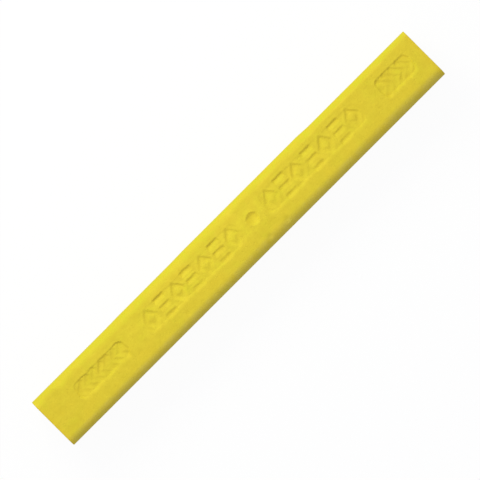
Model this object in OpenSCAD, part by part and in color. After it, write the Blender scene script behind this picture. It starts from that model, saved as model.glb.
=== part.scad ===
// Water-soluble ink block: a stick of pressed pigment, square in section, with rounded long edges.
// It is one solid. An ornament of shallow grooves is stamped into its top face.
// X runs along the stick, Y across it and Z up from the face it rests on. Lengths are in millimetres.

/* [Stick] */
// Length between the two cut ends
stick_length = 70; // [67:0.1:90]
// Width across the stamped face
stick_width = 8.1; // [7.6:0.1:12]
// Height from the resting face to the stamped face
stick_height = 8; // [5:0.1:12]
// Radius of the four long edges
edge_radius = 1.3; // [0.3:0.1:1.5]

/* [Grooves] */
// Depth of every groove below the stamped face
groove_depth = 0.2; // [0.1:0.05:0.4]
// Width of every groove at the face
groove_width = 0.6; // [0.4:0.05:0.7]
// How far each wall of a groove leans in on its way down to the floor
groove_draft = 0.12; // [0.02:0.01:0.18]

/* [Dimple] */
// Distance from the middle of the stick to the dimple, towards +X
dimple_shift = 3.2; // [1:0.1:6]
// Diameter of the dimple at the face
dimple_diameter = 1.9; // [1:0.1:3]
// Depth of the dimple at its middle
dimple_depth = 0.3; // [0.1:0.05:0.45]
// Plain face left between the dimple and each frieze
dimple_margin = 1.4; // [0.5:0.1:2.5]

/* [Friezes] */
// Distance from the middle of the face to the centre line of the friezes and the dimple, towards +Y
frieze_offset = 0.55; // [-0.75:0.05:0.75]
// Number of lozenges in each of the two friezes
lozenge_count = 4; // [2:1:4]
// Width of a lozenge, along the stick
lozenge_width = 2.6; // [2:0.1:3]
// Height of a lozenge, across the stick
lozenge_height = 3.5; // [2.6:0.1:3.7]
// Length of the bars that lie in a stack between two lozenges
bar_length = 1.9; // [1:0.1:2.2]
// Number of bars in a stack
bar_count = 3; // [2:1:3]
// Height of a whole stack of bars, across the stick
stack_height = 3.3; // [2.6:0.1:3.7]
// Plain face left between a lozenge and the stack beside it
stack_gap = 0.3; // [0.1:0.05:0.5]

/* [Chevrons] */
// Distance from the middle of the face to the centre line of the chevrons, towards +Y
chevron_offset = 0.35; // [-0.75:0.05:0.75]
// Number of chevrons near the -X end
left_chevron_count = 7; // [2:1:7]
// Number of chevrons near the +X end
right_chevron_count = 4; // [2:1:5]
// Height of each chevron near the -X end, across the stick
left_chevron_height = 2.5; // [2:0.1:3.5]
// Height of each chevron near the +X end, across the stick
right_chevron_height = 3.2; // [2:0.1:3.5]
// Distance from one chevron to the next
chevron_pitch = 1.2; // [1.1:0.05:1.4]
// Plain face left between the -X end and the first chevron
left_margin = 5.3; // [1:0.1:7]
// Plain face left between the last chevron and the +X end
right_margin = 2.1; // [1:0.1:5]

/* [Hidden] */
pigment_yellow = [0.87, 0.8, 0.22];
// Facets of a full circle
round_facets = 64;
// The two arms of a chevron stand square to each other
arm_angle = 45;

// Every recess is cut from just above the face, so that its mouth is clean
mouth_height = 0.1;
recess_height = groove_depth + mouth_height;
// How far a groove's wall leans out over that extra height
mouth_spread = groove_draft * mouth_height / groove_depth;

// A frieze starts and ends with a lozenge, and has a stack of bars between each two
frieze_pitch = lozenge_width + bar_length + 2 * stack_gap;
frieze_length = lozenge_count * frieze_pitch - bar_length - 2 * stack_gap;
// Distance from the dimple to the middle of each frieze
frieze_distance = dimple_diameter / 2 + dimple_margin + frieze_length / 2;

// Distance from the middle of a lozenge to each of its sides
lozenge_inradius = lozenge_width * lozenge_height / 2
    / norm([lozenge_width, lozenge_height]);

// Section of the stick: a square with four round corners
module stick_section() {
    square([stick_width, stick_height - 2 * edge_radius], center = true);
    square([stick_width - 2 * edge_radius, stick_height], center = true);
    for (y = [-1, 1], z = [-1, 1])
        translate([y * (stick_width / 2 - edge_radius), z * (stick_height / 2 - edge_radius)])
            circle(edge_radius, $fn = round_facets);
}

// The plain stick, cut square at both ends
module stick() {
    translate([-stick_length / 2, 0, stick_height / 2])
        rotate([90, 0, 90])
            linear_extrude(stick_length)
                stick_section();
}

// Straight groove of the given length at the face, with walls that lean in to its floor
module straight_groove(length) {
    floor_size = [length - 2 * groove_draft, groove_width - 2 * groove_draft];
    mouth_scale = [(length + 2 * mouth_spread) / floor_size.x,
                   (groove_width + 2 * mouth_spread) / floor_size.y];
    translate([0, 0, -groove_depth])
        linear_extrude(recess_height, scale = mouth_scale, slices = 1)
            square(floor_size, center = true);
}

// Tapered lozenge, given by its inradius at the bottom and at the top
module lozenge(bottom_inradius, top_inradius, height) {
    half_width = lozenge_width / 2;
    half_height = lozenge_height / 2;
    linear_extrude(height, scale = top_inradius / bottom_inradius, slices = 1)
        scale(bottom_inradius / lozenge_inradius)
            polygon([[half_width, 0], [0, half_height], [-half_width, 0], [0, -half_height]]);
}

// Groove that runs round a lozenge and leaves an island of face inside it
module lozenge_groove() {
    island_inradius = lozenge_inradius - groove_width;
    translate([0, 0, -groove_depth])
        difference() {
            lozenge(lozenge_inradius - groove_draft, lozenge_inradius + mouth_spread,
                    recess_height);
            translate([0, 0, -mouth_height])
                lozenge(island_inradius + groove_draft + mouth_spread,
                        island_inradius - 2 * mouth_spread,
                        recess_height + 2 * mouth_height);
        }
}

// Stack of bars that lie along the stick, one above the other
module bar_stack() {
    step = (stack_height - groove_width) / (bar_count - 1);
    for (i = [0 : bar_count - 1])
        translate([0, i * step - (stack_height - groove_width) / 2, 0])
            straight_groove(bar_length);
}

// Row of lozenges with a stack of bars between each two, centred on the origin
module frieze() {
    first_lozenge = (lozenge_width - frieze_length) / 2;
    for (i = [0 : lozenge_count - 1])
        translate([first_lozenge + i * frieze_pitch, 0, 0])
            lozenge_groove();
    for (i = [0 : lozenge_count - 2])
        translate([first_lozenge + (i + 0.5) * frieze_pitch, 0, 0])
            bar_stack();
}

// Chevron of the given height that opens towards +X, with its point at the origin
module chevron(height) {
    arm_length = height / 2 / sin(arm_angle);
    for (side = [-1, 1])
        rotate(side * arm_angle)
            translate([arm_length / 2, -side * groove_width / 2, 0])
                straight_groove(arm_length);
}

// Row of chevrons with the first point at the origin
module chevron_row(count, height) {
    for (i = [0 : count - 1])
        translate([i * chevron_pitch, 0, 0])
            chevron(height);
}

// Shallow dish cut by a ball
module dimple() {
    ball_radius = (pow(dimple_diameter / 2, 2) + pow(dimple_depth, 2)) / (2 * dimple_depth);
    translate([0, 0, ball_radius - dimple_depth])
        sphere(ball_radius, $fn = round_facets);
}

// The whole ornament, with the stamped face at Z = 0
module ornament() {
    translate([dimple_shift, frieze_offset, 0])
        dimple();
    for (side = [-1, 1])
        translate([dimple_shift + side * frieze_distance, frieze_offset, 0])
            frieze();
    translate([left_margin - stick_length / 2, chevron_offset, 0])
        chevron_row(left_chevron_count, left_chevron_height);
    translate([stick_length / 2 - right_margin, chevron_offset, 0])
        mirror([1, 0, 0])
            chevron_row(right_chevron_count, right_chevron_height);
}

module ink_block() {
    color(pigment_yellow)
        difference() {
            stick();
            translate([0, 0, stick_height])
                ornament();
        }
}

ink_block();
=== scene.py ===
# Water-soluble ink block: one stick of pressed yellow pigment that lies on a white table, stamped face up.
# The stick replaces the CAD solid with the same form, and adds what pressing, stamping and cutting leave on
# it: soft groove walls with low rims, shallow panels round the rows of strokes, an egg-shaped dimple, bulged
# and dented edges, broken corners at the cuts, and the grain of the pigment.
# X runs along the stick, Y across it and Z up. Lengths are in metres.
import math

import bpy
import numpy as np
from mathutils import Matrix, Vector, noise


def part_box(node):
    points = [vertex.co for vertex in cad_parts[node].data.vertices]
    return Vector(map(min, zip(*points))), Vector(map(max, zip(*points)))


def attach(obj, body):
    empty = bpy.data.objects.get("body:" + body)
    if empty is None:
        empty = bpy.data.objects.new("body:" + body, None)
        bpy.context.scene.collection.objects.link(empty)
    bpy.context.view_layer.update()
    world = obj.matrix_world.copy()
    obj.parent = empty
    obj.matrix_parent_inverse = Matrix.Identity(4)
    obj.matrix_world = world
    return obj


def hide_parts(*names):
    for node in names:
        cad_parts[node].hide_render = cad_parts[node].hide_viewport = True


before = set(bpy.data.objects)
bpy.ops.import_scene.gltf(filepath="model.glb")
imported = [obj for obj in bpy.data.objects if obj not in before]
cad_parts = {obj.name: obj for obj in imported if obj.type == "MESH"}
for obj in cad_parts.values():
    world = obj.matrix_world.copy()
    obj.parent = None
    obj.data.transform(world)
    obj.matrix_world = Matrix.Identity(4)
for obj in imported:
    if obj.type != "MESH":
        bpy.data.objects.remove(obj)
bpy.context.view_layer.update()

MM = 0.001

# ---------------------------------------------------------------- the stick, as the frame gives it
LOW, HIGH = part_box("ink_block")
HALF_LENGTH = (HIGH.x - LOW.x) / 2
HALF_WIDTH = (HIGH.y - LOW.y) / 2
TOP = HIGH.z
EDGE_RADIUS = 1.3 * MM

# ---------------------------------------------------------------- the ornament, as it is in the solid
GROOVE_WIDTH = 0.6 * MM
GROOVE_DEPTH = 0.2 * MM
DIMPLE_SHIFT = 3.2 * MM
DIMPLE_RADIUS = 0.95 * MM
DIMPLE_MARGIN = 1.4 * MM
FRIEZE_OFFSET = 0.55 * MM
LOZENGE_COUNT = 4
LOZENGE_WIDTH = 2.6 * MM
LOZENGE_HEIGHT = 3.5 * MM
BAR_LENGTH = 1.9 * MM
BAR_COUNT = 3
STACK_HEIGHT = 3.3 * MM
STACK_GAP = 0.3 * MM
CHEVRON_OFFSET = 0.35 * MM
CHEVRON_PITCH = 1.2 * MM
LEFT_CHEVRONS = 7
LEFT_CHEVRON_HEIGHT = 2.5 * MM
LEFT_MARGIN = 5.3 * MM
RIGHT_CHEVRONS = 4
RIGHT_CHEVRON_HEIGHT = 3.2 * MM
RIGHT_MARGIN = 2.1 * MM

FRIEZE_PITCH = LOZENGE_WIDTH + BAR_LENGTH + 2 * STACK_GAP
FRIEZE_LENGTH = LOZENGE_COUNT * FRIEZE_PITCH - BAR_LENGTH - 2 * STACK_GAP
FRIEZE_DISTANCE = DIMPLE_RADIUS + DIMPLE_MARGIN + FRIEZE_LENGTH / 2

# ---------------------------------------------------------------- what the stamp does to the pigment
# Every recess has steep walls of this width, with their middle this far inside its edge
GROOVE_WALL = 0.33 * MM
PANEL_WALL = 0.28 * MM
WALL_INSET = 0.07 * MM
# On its -Y side a recess runs out in a soft slope, because the stamp leans and drags
GROOVE_SLOPE = 0.65 * MM
PANEL_SLOPE = 0.5 * MM
SLOPE_STEPS = 9
# Rounding of the outer corners of every stroke and of every panel
STROKE_ROUNDING = 0.18 * MM
PANEL_ROUNDING = 0.9 * MM
# How far the strokes wander from their true outlines
STROKE_WANDER = 0.085 * MM
WANDER_SIZE = 0.8 * MM
# The stamp presses less deep than its full depth, unevenly, and deeper on the +Y side
PRESS = 0.72
PRESS_VARIATION = 0.35
PRESS_SIZE = 2 * MM
PRESS_LEAN = 0.1
# The pigment that a groove displaces stands up beside it as a low rim
RIM_HEIGHT = 0.015 * MM
RIM_DISTANCE = 0.16 * MM
RIM_WIDTH = 0.13 * MM
# Every row of strokes lies in a shallow panel of uneven depth, deeper towards its foot. It reaches past the
# row at both ends, and across the stick from its top to its foot. Round the friezes it is shallower
PANEL_DEPTH = 0.15 * MM
PANEL_LEAN = 0.35
FRIEZE_PANEL_DEPTH = 0.07 * MM
FRIEZE_PANEL_LEAN = 0.6
PANEL_VARIATION = 0.75
PANEL_PATCH_SIZE = 1.3 * MM
PANEL_END_MARGIN = 0.15 * MM
LEFT_PANEL_EDGES = (1.7 * MM, -0.86 * MM)
RIGHT_PANEL_EDGES = (1.97 * MM, -1.06 * MM)
FRIEZE_PANEL_EDGES = (2.18 * MM, -1.06 * MM)
# The strokes in a panel are shallower by this share of the panel's depth
PANEL_HELD = 0.85
# The dimple is an egg-shaped dish, blunt towards +Y: how far its widest place lies from the friezes' centre
# line, how far it reaches from there towards +Y, towards -Y and along the stick, how fast it narrows towards
# +Y, its depth and the curve of its walls
DISH_SHIFT = 0.25 * MM
DISH_TOP = 0.62 * MM
DISH_FOOT = 1.35 * MM
DISH_HALF_WIDTH = 0.95 * MM
DISH_NARROWING = 0.45
DISH_DEPTH = 0.3 * MM
DISH_CURVE = 1.8
# Place of its deepest point across the stick, as a share of its reach from the widest place
DISH_SKEW = -0.2
# The least distance from that point, squared, that the dish's formula takes
DISH_LEAST = 1e-6
# The dish has a low rim on its -Y side: its height, and its place and width as shares of the dish's reach
DISH_RIM = 0.025 * MM
DISH_RIM_PLACE = 1.1
DISH_RIM_WIDTH = 0.2
# The stamp's plate burnishes the face round the ornament, which makes it a little smoother, and the band
# is also a painted sheen that lightens its colour: how far at each distance from the -X end, in
# millimetres, the height of that band across the stick, and how softly it ends
FACE_BURNISH_AND_SHEEN = ((5, 0), (7, 0.45), (14, 0.5), (17, 0.7), (21, 1), (35, 1), (42, 0.75), (56, 0.65),
                (58, 0.15), (63, 0.15), (65, 0.4), (68, 0.3), (70, 0))
BURNISH_AND_SHEEN_HEIGHT = 3.1 * MM
BURNISH_AND_SHEEN_BORDER = 0.9 * MM

# ---------------------------------------------------------------- what pressing and cutting leave
# Radius of the upper long edges at each distance from the -X end, in millimetres
LIT_EDGE_RADII = ((0, 1.35), (1.5, 1.2), (2.4, 0.95), (3.4, 1.05), (4.4, 1.65), (5.4, 1.4), (7, 1.3),
                  (10, 1.45), (17, 1.5), (36, 1.45), (42, 1.15), (46, 1.0), (49, 1.2), (51, 1.15),
                  (53, 0.93), (58, 0.93), (61, 0.95), (65, 0.93), (67, 0.82), (70, 0.65))
DARK_EDGE_RADII = ((0, 1.27), (12, 1.29), (20, 1.32), (31, 1.37), (35, 1.48), (39, 1.54), (44, 1.42),
                   (50, 1.38), (61, 1.52), (70, 1.37))
# How far the upper +Y edge is flattened from an arc (0) to a bevel (1)
LIT_EDGE_FLATNESS = ((0, 0.2), (3, 0), (40, 0), (44, 0.35), (48, 0.2), (53, 0.45), (58, 0.4), (70, 0.2))
# How far the stamp swells the +Y side at each distance from the -X end, in millimetres
SIDE_SWELL = ((14, 0), (16, 0.04), (26, 0.06), (28.5, 0.11), (50, 0.11), (52, 0))
GREATEST_SWELL = 0.11 * MM
# Radius of the broken edge round each cut end, the share by which it varies, and the size of that variation
CUT_EDGE = 0.06 * MM
CUT_EDGE_VARIATION = 0.6
CUT_EDGE_PATCH_SIZE = 0.5 * MM
# Depth and size of the hollows in the cut ends
CUT_RELIEF = 0.05 * MM
CUT_RELIEF_SIZE = 0.6 * MM
# The stamped face is crowned: how far its +Y border lies below its middle at each distance from the -X end,
# in millimetres, and the share of that by which its -Y border does
FACE_CROWN = ((10, 0), (17, 0.04), (31, 0.04), (35, 0.08), (39, 0.08), (44, 0.02), (56, 0))
DARK_CROWN_SHARE = 0.3
# Slow waves and smaller dimpling all over the surface, weaker on the sides
SURFACE_WAVE = 0.02 * MM
WAVE_SIZE = 7 * MM
SURFACE_DIMPLING = 0.023 * MM
DIMPLING_SIZE = 1.4 * MM
SIDE_SHARE = 0.35
# Nicks beside the dimple and along the upper -Y edge: distance from the -X end, Y, radius and depth
NICKS = (
    (37.8 * MM, -0.62 * MM, 0.25 * MM, 0.035 * MM),
    (23.2 * MM, -2.4 * MM, 0.30 * MM, 0.09 * MM),
    (38.2 * MM, -2.9 * MM, 0.35 * MM, 0.12 * MM),
    (41.4 * MM, -2.9 * MM, 0.40 * MM, 0.11 * MM),
)

# ---------------------------------------------------------------- seeds of the noises
(WANDER_X_SEED, WANDER_Y_SEED, PRESS_SEED, CUT_EDGE_SEED, WAVE_SEED, DIMPLING_SEED, CUT_RELIEF_SEED,
 CLOUD_SEED, SMALL_CLOUD_SEED, PANEL_SEED) = range(1, 11)
# Each seed moves its noise along by this much more, so that no two noises are alike
SEED_SHIFT = (31.7, 17.3, 7.9)

# ---------------------------------------------------------------- tint with painted highlight, and dust with painted shade
# The pigment's colour turns to green and to orange as its tint goes from 0 to these
GREEN_TINT = -2
ORANGE_TINT = 1
TINT_CLOUDS = 0.9
TINT_CLOUD_SIZE = 2.2 * MM
SMALL_TINT_CLOUDS = TINT_CLOUDS / 2
SMALL_TINT_CLOUD_SIZE = TINT_CLOUD_SIZE / 2.5
# Painted highlight tint: the upper +Y edge, which faces the lamp, turns greenish at its start, by this much
# at each distance from the -X end in millimetres, and green towards its foot
PAINTED_HIGHLIGHT_TINTS = ((0, -1.4), (8, -1.15), (33, -1.1), (38, -0.9), (43, -1.3), (57, -1.65), (70, -1.8))
PAINTED_HIGHLIGHT_FOOT_TINT = -1.5
# Y of the surface's normal at which each of these two begins and is full
LIT_EDGE_TURN = (0, 1 / 3)
LIT_FOOT_TURN = (0.45, 0.95)
STAMPED_TINT = -0.15
# Painted highlight tint: stamped slopes facing +Y and the lamp turn greener, by this much for each unit of
# slope
PAINTED_HIGHLIGHT_SLOPE_TINT = -1.3
CUT_LINE_TINT = 1.3
CUT_LINE_REACH = 0.9 * MM
# Y or Z of the surface's normal at which dust, painted shade and painted reflection begin and are full: on
# the upper -Y edge, away from the lamp, and on the sides
DARK_EDGE_DUST_AND_SHADE_TURN = (0, -1 / 3)
SIDE_DUST_AND_SHADE_TURN = (1 / 4, 0)

# ---------------------------------------------------------------- the pigment
PIGMENT = (0.779, 0.623, 0.026, 1)
PIGMENT_GREEN = (0.662, 0.612, 0.011, 1)
PIGMENT_ORANGE = (0.795, 0.607, 0.023, 1)
PIGMENT_DEEP = (0.72, 0.565, 0.024, 1)
# Lighter pigment where the face is burnished: a painted sheen
PIGMENT_PAINTED_SHEEN = (0.838, 0.686, 0.027, 1)
# Darker, bluer pigment: dust, painted shade and a painted reflection of the white surroundings
PIGMENT_DUST_AND_SHADE = (0.737, 0.592, 0.057, 1)
PIGMENT_SPECK = (0.60, 0.42, 0.02, 1)
PIGMENT_CUT = (0.79, 0.65, 0.06, 1)
# Sizes of the deeper patches and of the specks, the levels of their noise at which they begin and are full,
# and the greatest shares that they and the cut ends' colour take
MOTTLE_SIZE = 0.9 * MM
MOTTLE_LEVELS = (0.35, 0.75)
MOTTLE_SHARE = 0.9
SPECK_SIZE = 0.16 * MM
SPECK_LEVELS = (0.7, 0.78)
SPECK_SHARE = 0.35
CUT_SHARE = 0.5
# Sizes of what roughens the surface: grain, pits, drag marks drawn out along the stick and, on the cut ends,
# coarser grain
GRAIN_SIZE = 0.12 * MM
PIT_SIZE = 0.3 * MM
PIT_LEVELS = (0.3, 0.42)
DRAG_SIZE = 0.25 * MM
DRAG_STRETCH = 14
COARSE_SIZE = 0.28 * MM
# Their heights as multiples of the bump's height
GRAIN_HEIGHT = 0.9
PIT_HEIGHT = 0.9
DRAG_HEIGHT = 0.6
CUT_COARSE_HEIGHT = 5.0
CUT_GRAIN_HEIGHT = 1.5
BUMP_HEIGHT = 0.025 * MM
BUMP_STRENGTH = 0.7
# The shader's roughness over the mottle's levels, and what burnishing and cutting add to it
MATTE_LEVELS = (0.3, 0.7)
MATTE = (0.68, 0.78)
BURNISHED_MATTE = -0.04
CUT_MATTE = 0.25
REFRACTION = 1.4

# ---------------------------------------------------------------- table and light
WHITE = (1, 1, 1, 1)
TABLE_COLOUR = (0.7, 0.7, 0.7, 1)
# Share of the table's white that the camera sees whatever light falls on it
TABLE_GLOW = 0.95
TABLE_REACH = 1.5
# About how bright the lamp, and the light from all round, make a white face turned to them: 1 is white
KEY_LEVEL = 0.67
AMBIENT_LEVEL = 0.54
KEY_COLOUR = (1, 1, 0.7)
AMBIENT_COLOUR = (1, 1, 1.25, 1)
KEY_SIZE = 0.09
KEY_DISTANCE = 0.18
KEY_ELEVATION = 43

# ---------------------------------------------------------------- camera
LENS = 500
SENSOR = 36
# How steeply the stick runs up from left to right in the picture
STICK_ANGLE = 45
# Width of the picture at the height of the stamped face
FRAME_WIDTH = 63.93 * MM
STICK_RIGHT_OF_CENTRE = -0.24 * MM
STICK_ABOVE_CENTRE = 0.28 * MM

# ---------------------------------------------------------------- mesh steps
FINE_STEP = 0.08 * MM
COARSE_STEP = 0.3 * MM
PLAIN_STEP = 0.7 * MM
ARC_STEPS_TOP = 12
ARC_STEPS_BOTTOM = 6
STAMP_BORDER = 0.3 * MM
CUT_EDGE_STEPS = 3
CUT_LOOPS = 12


# ================================================================ small helpers

def steps(start, end, step):
    """Evenly spaced values from start up to, and without, end."""
    count = max(1, math.ceil(abs(end - start) / step))
    return list(np.linspace(start, end, count, endpoint=False))


def soft_step(value):
    """0 below 0, 1 above 1, and smooth in between."""
    t = np.clip(value, 0, 1)
    return t * t * (3 - 2 * t)


def ramp(value, ends):
    """0 before the first end, 1 past the second, and smooth in between."""
    start, end = ends
    return soft_step((value - start) / (end - start))


def along_stick(x, values):
    """Value at each place along X, from pairs of (distance from the -X end in millimetres, value)."""
    places, levels = np.array(values).T
    return np.interp((x + HALF_LENGTH) / MM, places, levels)


def noise_at(points, size, seed):
    """Smooth noise from -1 to 1 at each point, with bumps of about the given size."""
    shift = Vector([seed * step for step in SEED_SHIFT])
    values = [noise.noise(Vector(p) / size + shift) for p in points.reshape(-1, 3)]
    return np.array(values).reshape(points.shape[:-1])


def hollows_at(points, size, seed):
    """The same noise from 0 to 1."""
    return 0.5 + 0.5 * noise_at(points, size, seed)


# ================================================================ the stamped ornament

def rectangle_distance(x, y, length, width, rounding=STROKE_ROUNDING):
    """Distance to a rectangle round the origin with rounded corners, negative inside it."""
    out_x = np.abs(x) - length / 2 + rounding
    out_y = np.abs(y) - width / 2 + rounding
    outside = np.hypot(np.maximum(out_x, 0), np.maximum(out_y, 0))
    return outside + np.minimum(np.maximum(out_x, out_y), 0) - rounding


def lozenge_distance(x, y):
    """Distance to the groove that runs round a lozenge, negative inside the groove."""
    half_width = LOZENGE_WIDTH / 2
    half_height = LOZENGE_HEIGHT / 2
    inradius = half_width * half_height / math.hypot(half_width, half_height)
    across = np.hypot(x, STROKE_ROUNDING) / half_width
    along = np.hypot(y, STROKE_ROUNDING) / half_height
    from_side = (across + along - 1) * inradius
    return np.abs(from_side + GROOVE_WIDTH / 2) - GROOVE_WIDTH / 2


def stack_distance(x, y):
    """Distance to the nearest bar of a stack, negative inside the bar."""
    reach = (STACK_HEIGHT - GROOVE_WIDTH) / 2
    rows = np.linspace(-reach, reach, BAR_COUNT)
    return np.min([rectangle_distance(x, y - row, BAR_LENGTH, GROOVE_WIDTH) for row in rows], axis=0)


def chevron_distance(x, y, height):
    """Distance to a chevron that opens towards +X with its point at the origin, negative inside it. Its two
    arms stand square to each other."""
    arm = height / math.sqrt(2)
    along = (x + np.abs(y)) / math.sqrt(2) - arm / 2
    across = (x - np.abs(y)) / math.sqrt(2) - GROOVE_WIDTH / 2
    return rectangle_distance(along, across, arm, GROOVE_WIDTH)


def frieze_distance(x, y):
    """Distance to the nearest groove of a frieze round the origin, negative inside the groove."""
    first = (LOZENGE_WIDTH - FRIEZE_LENGTH) / 2
    lozenges = [lozenge_distance(x - first - i * FRIEZE_PITCH, y) for i in range(LOZENGE_COUNT)]
    stacks = [stack_distance(x - first - (i + 0.5) * FRIEZE_PITCH, y) for i in range(LOZENGE_COUNT - 1)]
    return np.min(lozenges + stacks, axis=0)


def chevron_row_distance(x, y, count, height):
    """Distance to the nearest of a row of chevrons, the first with its point at the origin."""
    return np.min([chevron_distance(x - i * CHEVRON_PITCH, y, height) for i in range(count)], axis=0)


def chevron_row_length(count, height):
    """Length of a row of chevrons along X."""
    return (count - 1) * CHEVRON_PITCH + height / 2 + GROOVE_WIDTH / math.sqrt(2)


def panel_distance(x, y, length, edges):
    """Distance to a panel that starts at X 0 and lies between the two edges, negative inside it."""
    top, foot = edges
    return rectangle_distance(x - length / 2, y - (top + foot) / 2, length + 2 * PANEL_END_MARGIN,
                              top - foot, PANEL_ROUNDING)


def panels(x, y):
    """Distance to the nearest panel, negative inside it."""
    left_length = chevron_row_length(LEFT_CHEVRONS, LEFT_CHEVRON_HEIGHT)
    right_length = chevron_row_length(RIGHT_CHEVRONS, RIGHT_CHEVRON_HEIGHT)
    distances = [panel_distance(x + HALF_LENGTH - LEFT_MARGIN, y, left_length, LEFT_PANEL_EDGES),
                 panel_distance(HALF_LENGTH - RIGHT_MARGIN - x, y, right_length, RIGHT_PANEL_EDGES)]
    for side in (-1, 1):
        start = DIMPLE_SHIFT + side * FRIEZE_DISTANCE - FRIEZE_LENGTH / 2
        distances.append(panel_distance(x - start, y, FRIEZE_LENGTH, FRIEZE_PANEL_EDGES))
    return np.min(distances, axis=0)


def grooves(x, y):
    """Distance to the nearest groove of the whole ornament, negative inside a groove."""
    distances = [frieze_distance(x - DIMPLE_SHIFT - side * FRIEZE_DISTANCE, y - FRIEZE_OFFSET)
                 for side in (-1, 1)]
    distances.append(chevron_row_distance(x + HALF_LENGTH - LEFT_MARGIN, y - CHEVRON_OFFSET,
                                          LEFT_CHEVRONS, LEFT_CHEVRON_HEIGHT))
    distances.append(chevron_row_distance(HALF_LENGTH - RIGHT_MARGIN - x, y - CHEVRON_OFFSET,
                                          RIGHT_CHEVRONS, RIGHT_CHEVRON_HEIGHT))
    return np.min(distances, axis=0)


def pressed(shape, x, y, wall, slope_length):
    """Share of its full depth that a stamped shape with walls of the given width reaches at each point. On
    its -Y side the recess runs out over the given length."""
    shares = np.linspace(0, 1, SLOPE_STEPS, endpoint=False)
    reached = [soft_step(0.5 - (shape(x, y + t * slope_length) + WALL_INSET) / wall) * (1 - t) ** 2
               for t in shares]
    return np.max(reached, axis=0)


def dish(x, y):
    """Depth of the dimple's dish and its rim round the origin."""
    # The outline becomes a circle of radius 1
    y = (y - DISH_SHIFT) / np.where(y > DISH_SHIFT, DISH_TOP, DISH_FOOT)
    x = x / (DISH_HALF_WIDTH * (1 - DISH_NARROWING * np.clip(y, 0, 1)))
    # Each point's distance from the deepest point, as a share of the distance to the circle behind it
    from_deepest = y - DISH_SKEW
    squared = np.maximum(x ** 2 + from_deepest ** 2, DISH_LEAST)
    lean = DISH_SKEW * from_deepest
    share = squared / (np.sqrt(lean ** 2 + squared * (1 - DISH_SKEW ** 2)) - lean)
    rim = np.exp(-((share - DISH_RIM_PLACE) / DISH_RIM_WIDTH) ** 2) * soft_step(-y)
    return DISH_DEPTH * np.maximum(1 - share ** DISH_CURVE, 0) - DISH_RIM * rim


def burnish_and_sheen_at(x, y):
    """How far the stamp's plate burnishes each point of the face, and how much painted sheen lightens it."""
    distance = np.abs(y - FRIEZE_OFFSET) - BURNISH_AND_SHEEN_HEIGHT / 2
    return along_stick(x, FACE_BURNISH_AND_SHEEN) * soft_step(0.5 - distance / BURNISH_AND_SHEEN_BORDER)


def height_share(y):
    """Place across the friezes: -1 at their foot and 1 at their top."""
    return (y - FRIEZE_OFFSET) / (LOZENGE_HEIGHT / 2)


def panel_level(points, x, y):
    """Depth of the panel that each point would lie in, if a panel reached it."""
    in_friezes = np.abs(x - DIMPLE_SHIFT) < FRIEZE_DISTANCE + FRIEZE_LENGTH / 2 + STAMP_BORDER
    depth = np.where(in_friezes, FRIEZE_PANEL_DEPTH, PANEL_DEPTH)
    lean = np.where(in_friezes, FRIEZE_PANEL_LEAN, PANEL_LEAN)
    patches = 1 + PANEL_VARIATION * noise_at(points, PANEL_PATCH_SIZE, PANEL_SEED)
    return depth * (1 - lean * height_share(y)) * patches


def stamp_depth(points):
    """How deep the stamp presses each point of the top face, and how far it burnishes the point and paints a
    sheen on it.
    """
    x = points[..., 0] + STROKE_WANDER * noise_at(points, WANDER_SIZE, WANDER_X_SEED)
    y = points[..., 1] + STROKE_WANDER * noise_at(points, WANDER_SIZE, WANDER_Y_SEED)
    press = PRESS + PRESS_LEAN * height_share(y)
    press += PRESS_VARIATION * noise_at(points, PRESS_SIZE, PRESS_SEED)
    panel = panel_level(points, x, y) * pressed(panels, x, y, PANEL_WALL, PANEL_SLOPE)
    groove = pressed(grooves, x, y, GROOVE_WALL, GROOVE_SLOPE)
    rim = RIM_HEIGHT * np.exp(-((grooves(x, y) - RIM_DISTANCE) / RIM_WIDTH) ** 2) * (1 - groove)
    depth = panel + (GROOVE_DEPTH - PANEL_HELD * panel) * groove * press - rim
    return depth + dish(x - DIMPLE_SHIFT, y - FRIEZE_OFFSET), burnish_and_sheen_at(x, y)


# ================================================================ the form of the stick

def fine_spans():
    """Stretches along X that hold the ornament."""
    left_end = LEFT_MARGIN + chevron_row_length(LEFT_CHEVRONS, LEFT_CHEVRON_HEIGHT)
    right_end = RIGHT_MARGIN + chevron_row_length(RIGHT_CHEVRONS, RIGHT_CHEVRON_HEIGHT)
    frieze_reach = FRIEZE_DISTANCE + FRIEZE_LENGTH / 2
    return [(LEFT_MARGIN - HALF_LENGTH, left_end - HALF_LENGTH),
            (DIMPLE_SHIFT - frieze_reach, DIMPLE_SHIFT + frieze_reach),
            (HALF_LENGTH - right_end, HALF_LENGTH - RIGHT_MARGIN)]


def ring_places():
    """Places along X of the rings between the two ends, close together under the ornament."""
    places = []
    reached = -HALF_LENGTH + 2 * CUT_EDGE
    for start, end in fine_spans():
        places += steps(reached, start - STAMP_BORDER, COARSE_STEP)
        places += steps(start - STAMP_BORDER, end + STAMP_BORDER, FINE_STEP)
        reached = end + STAMP_BORDER
    last = HALF_LENGTH - 2 * CUT_EDGE
    return np.array(places + steps(reached, last, COARSE_STEP) + [last])


def ring_columns():
    """Three columns with a row for each ring: its place along X, its turn from the long faces into the cut,
    and its end of the stick, -1 or 1, or 0 between the ends."""
    between = ring_places()
    cut_turn = np.radians(np.linspace(0, 90, CUT_EDGE_STEPS + 1))
    at_end = np.ones(cut_turn.size)
    places = np.concatenate([-HALF_LENGTH * at_end, between, HALF_LENGTH * at_end])
    turn = np.concatenate([cut_turn[::-1], np.zeros(between.size), cut_turn])
    end = np.concatenate([-at_end, np.zeros(between.size), at_end])
    return places[:, None], turn[:, None], end[:, None]


def corner_points(core_y, core_z, start_angle, count):
    """Rows for one rounded corner of the section, a quarter turn from start_angle."""
    angles = np.radians(start_angle + np.arange(count) * 90 / count)
    return [(core_y, core_z, math.cos(a), math.sin(a)) for a in angles]


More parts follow.
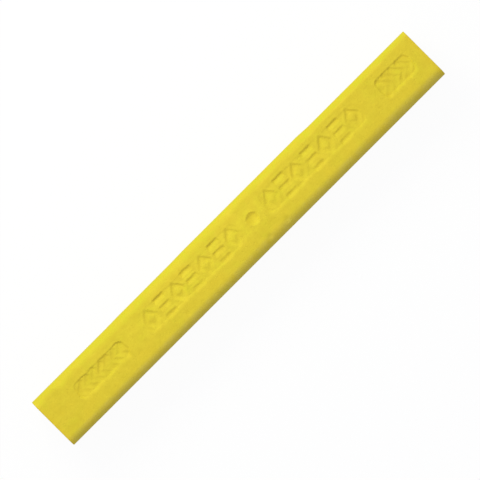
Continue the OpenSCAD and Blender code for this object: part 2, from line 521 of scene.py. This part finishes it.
def section_points():
    """One turn round the section, from the +Y end of the top face, as rows of (core y, core z, normal y,
    normal z). A point lies at core * (half size - radius) + normal * radius from the middle."""
    flat = HALF_WIDTH - EDGE_RADIUS
    stamp_high = FRIEZE_OFFSET + LOZENGE_HEIGHT / 2 + STAMP_BORDER
    stamp_low = FRIEZE_OFFSET - LOZENGE_HEIGHT / 2 - STAMP_BORDER
    top = steps(flat, stamp_high, COARSE_STEP) + steps(stamp_high, stamp_low, FINE_STEP)
    top += steps(stamp_low, -flat, COARSE_STEP)
    side = steps(1, -1, PLAIN_STEP / flat)
    rows = [(y / flat, 1, 0, 1) for y in top]
    rows += corner_points(-1, 1, 90, ARC_STEPS_TOP)
    rows += [(-1, z, -1, 0) for z in side]
    rows += corner_points(-1, -1, 180, ARC_STEPS_BOTTOM)
    rows += [(-y, -1, 0, -1) for y in side]
    rows += corner_points(1, -1, 270, ARC_STEPS_BOTTOM)
    rows += [(1, -z, 1, 0) for z in side]
    rows += corner_points(1, 1, 0, ARC_STEPS_TOP)
    return np.array(rows)


def edge_radius(x, core_y, core_z):
    """Radius of the long edges, blended over the faces between them."""
    towards_lit = (1 + core_y) / 2
    towards_top = (1 + core_z) / 2
    upper = (along_stick(x, DARK_EDGE_RADII) * MM * (1 - towards_lit)
             + along_stick(x, LIT_EDGE_RADII) * MM * towards_lit)
    return EDGE_RADIUS * (1 - towards_top) + upper * towards_top


def side_reach(x, core_y, core_z):
    """Distance from the middle to the side. The stamp swells the upper part of the +Y side."""
    swell = along_stick(x, SIDE_SWELL) * MM * (1 + core_z) / 2
    return HALF_WIDTH - np.where(core_y > 0, GREATEST_SWELL - swell, 0)


def surface_wear(points, section, radius):
    """How far waves, dimpling, the face's crown, the +Y edge's bevel and the nicks lower each point."""
    core_y, core_z, normal_y, normal_z = section
    facing_up = np.maximum(normal_z, 0) ** 2
    inward = SURFACE_WAVE * hollows_at(points, WAVE_SIZE, WAVE_SEED)
    inward += SURFACE_DIMPLING * hollows_at(points, DIMPLING_SIZE, DIMPLING_SEED)
    inward *= SIDE_SHARE + (1 - SIDE_SHARE) * normal_z ** 2
    # The face lies lower by a rim's height, so that the rims stay within the solid's box
    inward += RIM_HEIGHT * facing_up
    crown = along_stick(points[..., 0], FACE_CROWN) * MM * np.where(core_y > 0, 1, DARK_CROWN_SHARE)
    inward += crown * core_y ** 2 * facing_up
    bevel = radius * (1 - 1 / (np.abs(normal_y) + np.abs(normal_z)))
    inward += along_stick(points[..., 0], LIT_EDGE_FLATNESS) * bevel * (core_y > 0) * (core_z > 0)
    for x_from_end, nick_y, nick_radius, nick_depth in NICKS:
        centre = np.array((x_from_end - HALF_LENGTH, nick_y, TOP))
        away = np.linalg.norm(points - centre, axis=-1) / nick_radius
        inward += nick_depth * np.exp(-away ** 2)
    return inward


def tint_and_painted_highlight_at(points, normal_y, normal_z, burnish_and_sheen, slope):
    """How orange or green the pigment is: patches all over, a greenish stamp, a painted highlight tint that
    turns the upper +Y edge and slopes facing +Y, towards the lamp, greener, and a more orange strip along
    each cut."""
    from_cut = HALF_LENGTH - np.abs(points[..., 0])
    tint_and_painted_highlight = TINT_CLOUDS * noise_at(points, TINT_CLOUD_SIZE, CLOUD_SEED)
    tint_and_painted_highlight += SMALL_TINT_CLOUDS * noise_at(points, SMALL_TINT_CLOUD_SIZE, SMALL_CLOUD_SEED)
    # Painted highlight tint: greener where the upper edge and the slopes face +Y and the lamp
    painted_highlight_tint = along_stick(points[..., 0], PAINTED_HIGHLIGHT_TINTS) * ramp(normal_y, LIT_EDGE_TURN)
    painted_highlight_tint += PAINTED_HIGHLIGHT_FOOT_TINT * ramp(normal_y, LIT_FOOT_TURN)
    tint_and_painted_highlight += painted_highlight_tint * (normal_z > 0) + STAMPED_TINT * burnish_and_sheen + PAINTED_HIGHLIGHT_SLOPE_TINT * slope
    return tint_and_painted_highlight + CUT_LINE_TINT * ramp(from_cut, (CUT_LINE_REACH, 0))


def dust_and_shade_at(normal_y, normal_z):
    """How dusty the pigment is, with painted shade and painted reflection: on the sides, the underside and
    the upper -Y edge.
    """
    return np.maximum(ramp(normal_y, DARK_EDGE_DUST_AND_SHADE_TURN), ramp(normal_z, SIDE_DUST_AND_SHADE_TURN))


def long_faces():
    """Points of the four long faces and of the broken edges at the cuts, as rings from -X to +X, with how
    far each one is burnished and painted with sheen, its tint with painted highlight, and its dust with
    painted shade."""
    section = section_points().T
    core_y, core_z, normal_y, normal_z = section
    places, turn, end = ring_columns()
    radius = edge_radius(places, core_y, core_z)
    y = core_y * (side_reach(places, core_y, core_z) - radius) + normal_y * radius
    z = TOP / 2 + core_z * (TOP / 2 - radius) + normal_z * radius
    points = np.stack(np.broadcast_arrays(places, y, z), axis=-1)

    inward = surface_wear(points, section, radius)
    burnish_and_sheen = np.zeros(inward.shape)
    slope = np.zeros(inward.shape)
    on_top = normal_z == 1
    depth, burnish_and_sheen[:, on_top] = stamp_depth(points[:, on_top])
    slope[:, on_top] = np.gradient(depth, axis=1) / np.gradient(points[:, on_top, 1], axis=1)
    inward[:, on_top] += depth

    variation = noise_at(points, CUT_EDGE_PATCH_SIZE, CUT_EDGE_SEED)
    broken = CUT_EDGE * (1 + CUT_EDGE_VARIATION * variation)
    inward += np.abs(end) * broken * (1 - np.cos(turn))
    points[..., 0] -= end * broken * (1 - np.sin(turn))
    points[..., 1] -= inward * normal_y
    points[..., 2] -= inward * normal_z
    dust_and_shade = np.broadcast_to(dust_and_shade_at(normal_y, normal_z), inward.shape)
    return points, burnish_and_sheen, tint_and_painted_highlight_at(points, normal_y, normal_z, burnish_and_sheen, slope), dust_and_shade


def cut_face(outline, side):
    """Loops of points that fill a cut end, from its outline inwards."""
    middle = np.array((side * HALF_LENGTH, 0, TOP / 2))
    shares = np.linspace(1, 0, CUT_LOOPS + 2)[1:-1, None, None]
    loops = middle + (outline - middle) * shares
    relief = CUT_RELIEF * hollows_at(loops, CUT_RELIEF_SIZE, CUT_RELIEF_SEED)
    loops[..., 0] = side * (HALF_LENGTH - relief)
    return loops


def skin_faces(ring_count, turn_count):
    """Outward faces of a skin of rings from -X to +X, closed at both ends by a fan round a pole. The poles
    come after the rings' own points."""
    here = np.arange(ring_count * turn_count).reshape(ring_count, turn_count)
    after = np.roll(here, -1, axis=1)
    quads = np.stack([here[:-1], after[:-1], after[1:], here[1:]], axis=-1).reshape(-1, 4)
    first_pole, last_pole = here.size, here.size + 1
    fans = [(first_pole, b, a) for a, b in zip(here[0], after[0])]
    fans += [(last_pole, a, b) for a, b in zip(here[-1], after[-1])]
    return quads.tolist() + fans


def make_stick():
    """The whole stick as one closed mesh object, with attributes for where it is burnished with painted
    sheen and cut, and for its tint with painted highlight and its dust with painted shade."""
    rings, burnish_and_sheen, tint_and_painted_highlight, dust_and_shade = long_faces()
    left = cut_face(rings[0], -1)[::-1]
    right = cut_face(rings[-1], 1)
    rings = np.concatenate([left, rings, right])
    poles = [rings[0].mean(axis=0), rings[-1].mean(axis=0)]
    loops_added = ((CUT_LOOPS, CUT_LOOPS), (0, 0))
    burnish_and_sheen = np.pad(burnish_and_sheen, loops_added)
    tint_and_painted_highlight = np.pad(tint_and_painted_highlight, loops_added, mode="edge")
    dust_and_shade = np.pad(dust_and_shade, loops_added, mode="edge")
    cut = np.zeros(burnish_and_sheen.shape)
    cut[:CUT_LOOPS + 1] = 1
    cut[-CUT_LOOPS - 1:] = 1

    mesh = bpy.data.meshes.new("ink_block_form")
    points = np.concatenate([rings.reshape(-1, 3), poles])
    mesh.from_pydata(points.tolist(), [], skin_faces(*burnish_and_sheen.shape))
    mesh.shade_smooth()
    # The attributes carry painted sheen, a painted highlight tint and painted shade along with burnish, tint
    # and dust
    attributes = (("burnish_and_sheen", burnish_and_sheen, 0), ("cut", cut, 1), ("tint_and_painted_highlight", tint_and_painted_highlight, 0), ("dust_and_shade", dust_and_shade, 0))
    for name, values, pole_value in attributes:
        layer = mesh.attributes.new(name, "FLOAT", "POINT")
        layer.data.foreach_set("value", np.append(values.ravel(), [pole_value, pole_value]))
    stick = bpy.data.objects.new("pressed_stick", mesh)
    bpy.context.scene.collection.objects.link(stick)
    return stick


# ================================================================ materials

def new_material(name):
    """An empty node material: itself, its tree and its output node."""
    material = bpy.data.materials.new(name)
    material.use_nodes = True
    material.node_tree.nodes.clear()
    output = material.node_tree.nodes.new("ShaderNodeOutputMaterial")
    return material, material.node_tree, output


def set_input(tree, socket, value):
    """Feeds a socket from another node's output, or sets it to a number or a colour."""
    if isinstance(value, bpy.types.NodeSocket):
        tree.links.new(value, socket)
    else:
        socket.default_value = value


def add_node(tree, kind, settings=(), **inputs):
    """A node with the given settings and inputs. An underscore in an input's name stands for a space."""
    made = tree.nodes.new(kind)
    for name, value in dict(settings).items():
        setattr(made, name, value)
    for name, value in inputs.items():
        set_input(tree, made.inputs[name.replace("_", " ")], value)
    return made


def attribute_output(tree, name):
    """Value of one of the stick's attributes."""
    return add_node(tree, "ShaderNodeAttribute", {"attribute_name": name}).outputs["Fac"]


def noise_output(tree, coordinates, size, detail, roughness=0.5):
    """Noise from 0 to 1 with features of the given size."""
    made = add_node(tree, "ShaderNodeTexNoise", Vector=coordinates, Scale=1 / size, Detail=detail,
                    Roughness=roughness)
    return made.outputs["Fac"]


def stretch(tree, coordinates, factor):
    """Coordinates that draw a pattern out along X by the given factor."""
    made = add_node(tree, "ShaderNodeMapping", Vector=coordinates, Scale=(1 / factor, 1, 1))
    return made.outputs["Vector"]


def spread(tree, value, levels, results=(0, 1)):
    """Value between the two levels mapped to between the two results, and held there outside them."""
    made = add_node(tree, "ShaderNodeMapRange", Value=value, From_Min=levels[0], From_Max=levels[1],
                    To_Min=results[0], To_Max=results[1])
    return made.outputs["Result"]


def math_output(tree, operation, first, second, clamp=False):
    """Result of a Math node."""
    made = add_node(tree, "ShaderNodeMath", {"operation": operation, "use_clamp": clamp})
    set_input(tree, made.inputs[0], first)
    set_input(tree, made.inputs[1], second)
    return made.outputs["Value"]


def plus(tree, total, value, weight, clamp=False):
    """Total plus a value times its weight."""
    return math_output(tree, "ADD", total, math_output(tree, "MULTIPLY", value, weight), clamp)


def mix_colours(tree, share, first, second):
    """Second colour laid over the first by the given share."""
    made = add_node(tree, "ShaderNodeMix", {"data_type": "RGBA"})
    values = {"Factor_Float": share, "A_Color": first, "B_Color": second}
    for socket in made.inputs:
        if socket.identifier in values:
            set_input(tree, socket, values[socket.identifier])
    return next(o for o in made.outputs if o.identifier == "Result_Color")


def pigment_colour(tree, place, mottle, burnish_and_sheen, cut):
    """Colour of the pigment, from its painted sheen, its tint with painted highlight, its dust with painted
    shade, deeper patches and specks.
    """
    tint_and_painted_highlight = attribute_output(tree, "tint_and_painted_highlight")
    dust_and_shade = attribute_output(tree, "dust_and_shade")
    speck = noise_output(tree, place, SPECK_SIZE, detail=1)
    # Painted sheen lightens the burnished band
    colour = mix_colours(tree, burnish_and_sheen, PIGMENT, PIGMENT_PAINTED_SHEEN)
    # Dust with painted shade and painted reflection darkens and blues the sides and the upper -Y edge
    colour = mix_colours(tree, dust_and_shade, colour, PIGMENT_DUST_AND_SHADE)
    colour = mix_colours(tree, spread(tree, tint_and_painted_highlight, (0, ORANGE_TINT)), colour, PIGMENT_ORANGE)
    # The green also carries the painted highlight tint on the +Y edge and slopes
    colour = mix_colours(tree, spread(tree, tint_and_painted_highlight, (0, GREEN_TINT)), colour, PIGMENT_GREEN)
    colour = mix_colours(tree, spread(tree, mottle, MOTTLE_LEVELS, (0, MOTTLE_SHARE)), colour, PIGMENT_DEEP)
    colour = mix_colours(tree, spread(tree, speck, SPECK_LEVELS, (0, SPECK_SHARE)), colour, PIGMENT_SPECK)
    return mix_colours(tree, spread(tree, cut, (0, 1), (0, CUT_SHARE)), colour, PIGMENT_CUT)


def pigment_bump(tree, place, cut):
    """Normal of the pigment's fine surface: grain, pits and drag marks, and coarser grain on the cuts."""
    grain = noise_output(tree, place, GRAIN_SIZE, detail=3, roughness=0.6)
    pits = spread(tree, noise_output(tree, place, PIT_SIZE, detail=2), PIT_LEVELS)
    drag = noise_output(tree, stretch(tree, place, DRAG_STRETCH), DRAG_SIZE, detail=2)
    coarse = noise_output(tree, place, COARSE_SIZE, detail=4, roughness=0.65)
    face = math_output(tree, "MULTIPLY", grain, GRAIN_HEIGHT)
    face = plus(tree, plus(tree, face, pits, PIT_HEIGHT), drag, DRAG_HEIGHT)
    cut_end = math_output(tree, "MULTIPLY", coarse, CUT_COARSE_HEIGHT)
    cut_end = plus(tree, cut_end, grain, CUT_GRAIN_HEIGHT)
    height = add_node(tree, "ShaderNodeMix", Factor=cut, A=face, B=cut_end).outputs["Result"]
    bump = add_node(tree, "ShaderNodeBump", Height=height, Strength=BUMP_STRENGTH, Distance=BUMP_HEIGHT)
    return bump.outputs["Normal"]


def pigment_material():
    """Pressed pigment: matte and faintly waxy, mottled, with a fine grain and coarser cut ends."""
    material, tree, output = new_material("pressed_pigment")
    place = add_node(tree, "ShaderNodeTexCoord").outputs["Object"]
    burnish_and_sheen = attribute_output(tree, "burnish_and_sheen")
    cut = attribute_output(tree, "cut")
    mottle = noise_output(tree, place, MOTTLE_SIZE, detail=4, roughness=0.6)
    matte = plus(tree, spread(tree, mottle, MATTE_LEVELS, MATTE), burnish_and_sheen, BURNISHED_MATTE)
    matte = plus(tree, matte, cut, CUT_MATTE, clamp=True)
    shader = add_node(tree, "ShaderNodeBsdfPrincipled", Roughness=matte, IOR=REFRACTION,
                      Base_Color=pigment_colour(tree, place, mottle, burnish_and_sheen, cut),
                      Normal=pigment_bump(tree, place, cut))
    tree.links.new(shader.outputs["BSDF"], output.inputs["Surface"])
    return material


def table_material():
    """White table. The camera sees it as white paper with a faint shadow of the stick."""
    material, tree, output = new_material("white_table")
    is_camera = add_node(tree, "ShaderNodeLightPath").outputs["Is Camera Ray"]
    lit = add_node(tree, "ShaderNodeBsdfDiffuse", Color=TABLE_COLOUR)
    lit_paper = add_node(tree, "ShaderNodeBsdfDiffuse", Color=WHITE)
    glow = add_node(tree, "ShaderNodeEmission", Color=WHITE, Strength=1.0)
    paper = add_node(tree, "ShaderNodeMixShader", Fac=TABLE_GLOW)
    tree.links.new(lit_paper.outputs[0], paper.inputs[1])
    tree.links.new(glow.outputs[0], paper.inputs[2])
    shown = add_node(tree, "ShaderNodeMixShader", Fac=is_camera)
    tree.links.new(lit.outputs[0], shown.inputs[1])
    tree.links.new(paper.outputs[0], shown.inputs[2])
    tree.links.new(shown.outputs[0], output.inputs["Surface"])
    return material


# ================================================================ table, light and camera

def make_table():
    """A wide flat table under the stick."""
    corners = [(x * TABLE_REACH, y * TABLE_REACH, 0) for x, y in ((-1, -1), (1, -1), (1, 1), (-1, 1))]
    mesh = bpy.data.meshes.new("table_form")
    mesh.from_pydata(corners, [], [(0, 1, 2, 3)])
    table = bpy.data.objects.new("table", mesh)
    table.data.materials.append(table_material())
    bpy.context.scene.collection.objects.link(table)


def make_lamp():
    """One large soft lamp on the stick's +Y side."""
    lamp = bpy.data.lights.new("key_light", "AREA")
    lamp.size = KEY_SIZE
    lamp.color = KEY_COLOUR
    lamp.energy = KEY_LEVEL * (math.pi * KEY_DISTANCE) ** 2
    key = bpy.data.objects.new("key_light", lamp)
    elevation = math.radians(KEY_ELEVATION)
    towards = Vector((0, math.cos(elevation), math.sin(elevation)))
    key.location = Vector((0, 0, TOP)) + towards * KEY_DISTANCE
    key.rotation_euler = towards.to_track_quat("Z", "Y").to_euler()
    bpy.context.scene.collection.objects.link(key)


def make_world():
    """Even light from all round. The camera sees it as white."""
    world = bpy.data.worlds.new("studio")
    world.use_nodes = True
    tree = world.node_tree
    tree.nodes.clear()
    output = tree.nodes.new("ShaderNodeOutputWorld")
    is_camera = add_node(tree, "ShaderNodeLightPath").outputs["Is Camera Ray"]
    seen = spread(tree, is_camera, (0, 1), (AMBIENT_LEVEL, 1))
    sky = add_node(tree, "ShaderNodeBackground", Color=AMBIENT_COLOUR, Strength=seen)
    tree.links.new(sky.outputs[0], output.inputs["Surface"])
    bpy.context.scene.world = world


def make_camera():
    """Camera straight above, with a long lens, turned so that the stick runs up from left to right."""
    lens = bpy.data.cameras.new("camera")
    lens.lens = LENS
    lens.sensor_width = SENSOR
    camera = bpy.data.objects.new("camera", lens)
    angle = math.radians(STICK_ANGLE)
    right = Vector((math.cos(angle), -math.sin(angle), 0))
    up = Vector((math.sin(angle), math.cos(angle), 0))
    aim = right * -STICK_RIGHT_OF_CENTRE + up * -STICK_ABOVE_CENTRE
    distance = FRAME_WIDTH * LENS / SENSOR
    camera.location = aim + Vector((0, 0, TOP + distance))
    camera.rotation_euler = (0, 0, -angle)
    bpy.context.scene.collection.objects.link(camera)
    bpy.context.scene.camera = camera


# ================================================================ the scene

stick = make_stick()
stick.data.materials.append(pigment_material())
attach(stick, "root")
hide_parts("ink_block")
make_table()
make_lamp()
make_world()
make_camera()
bpy.context.scene.view_settings.view_transform = "Standard"
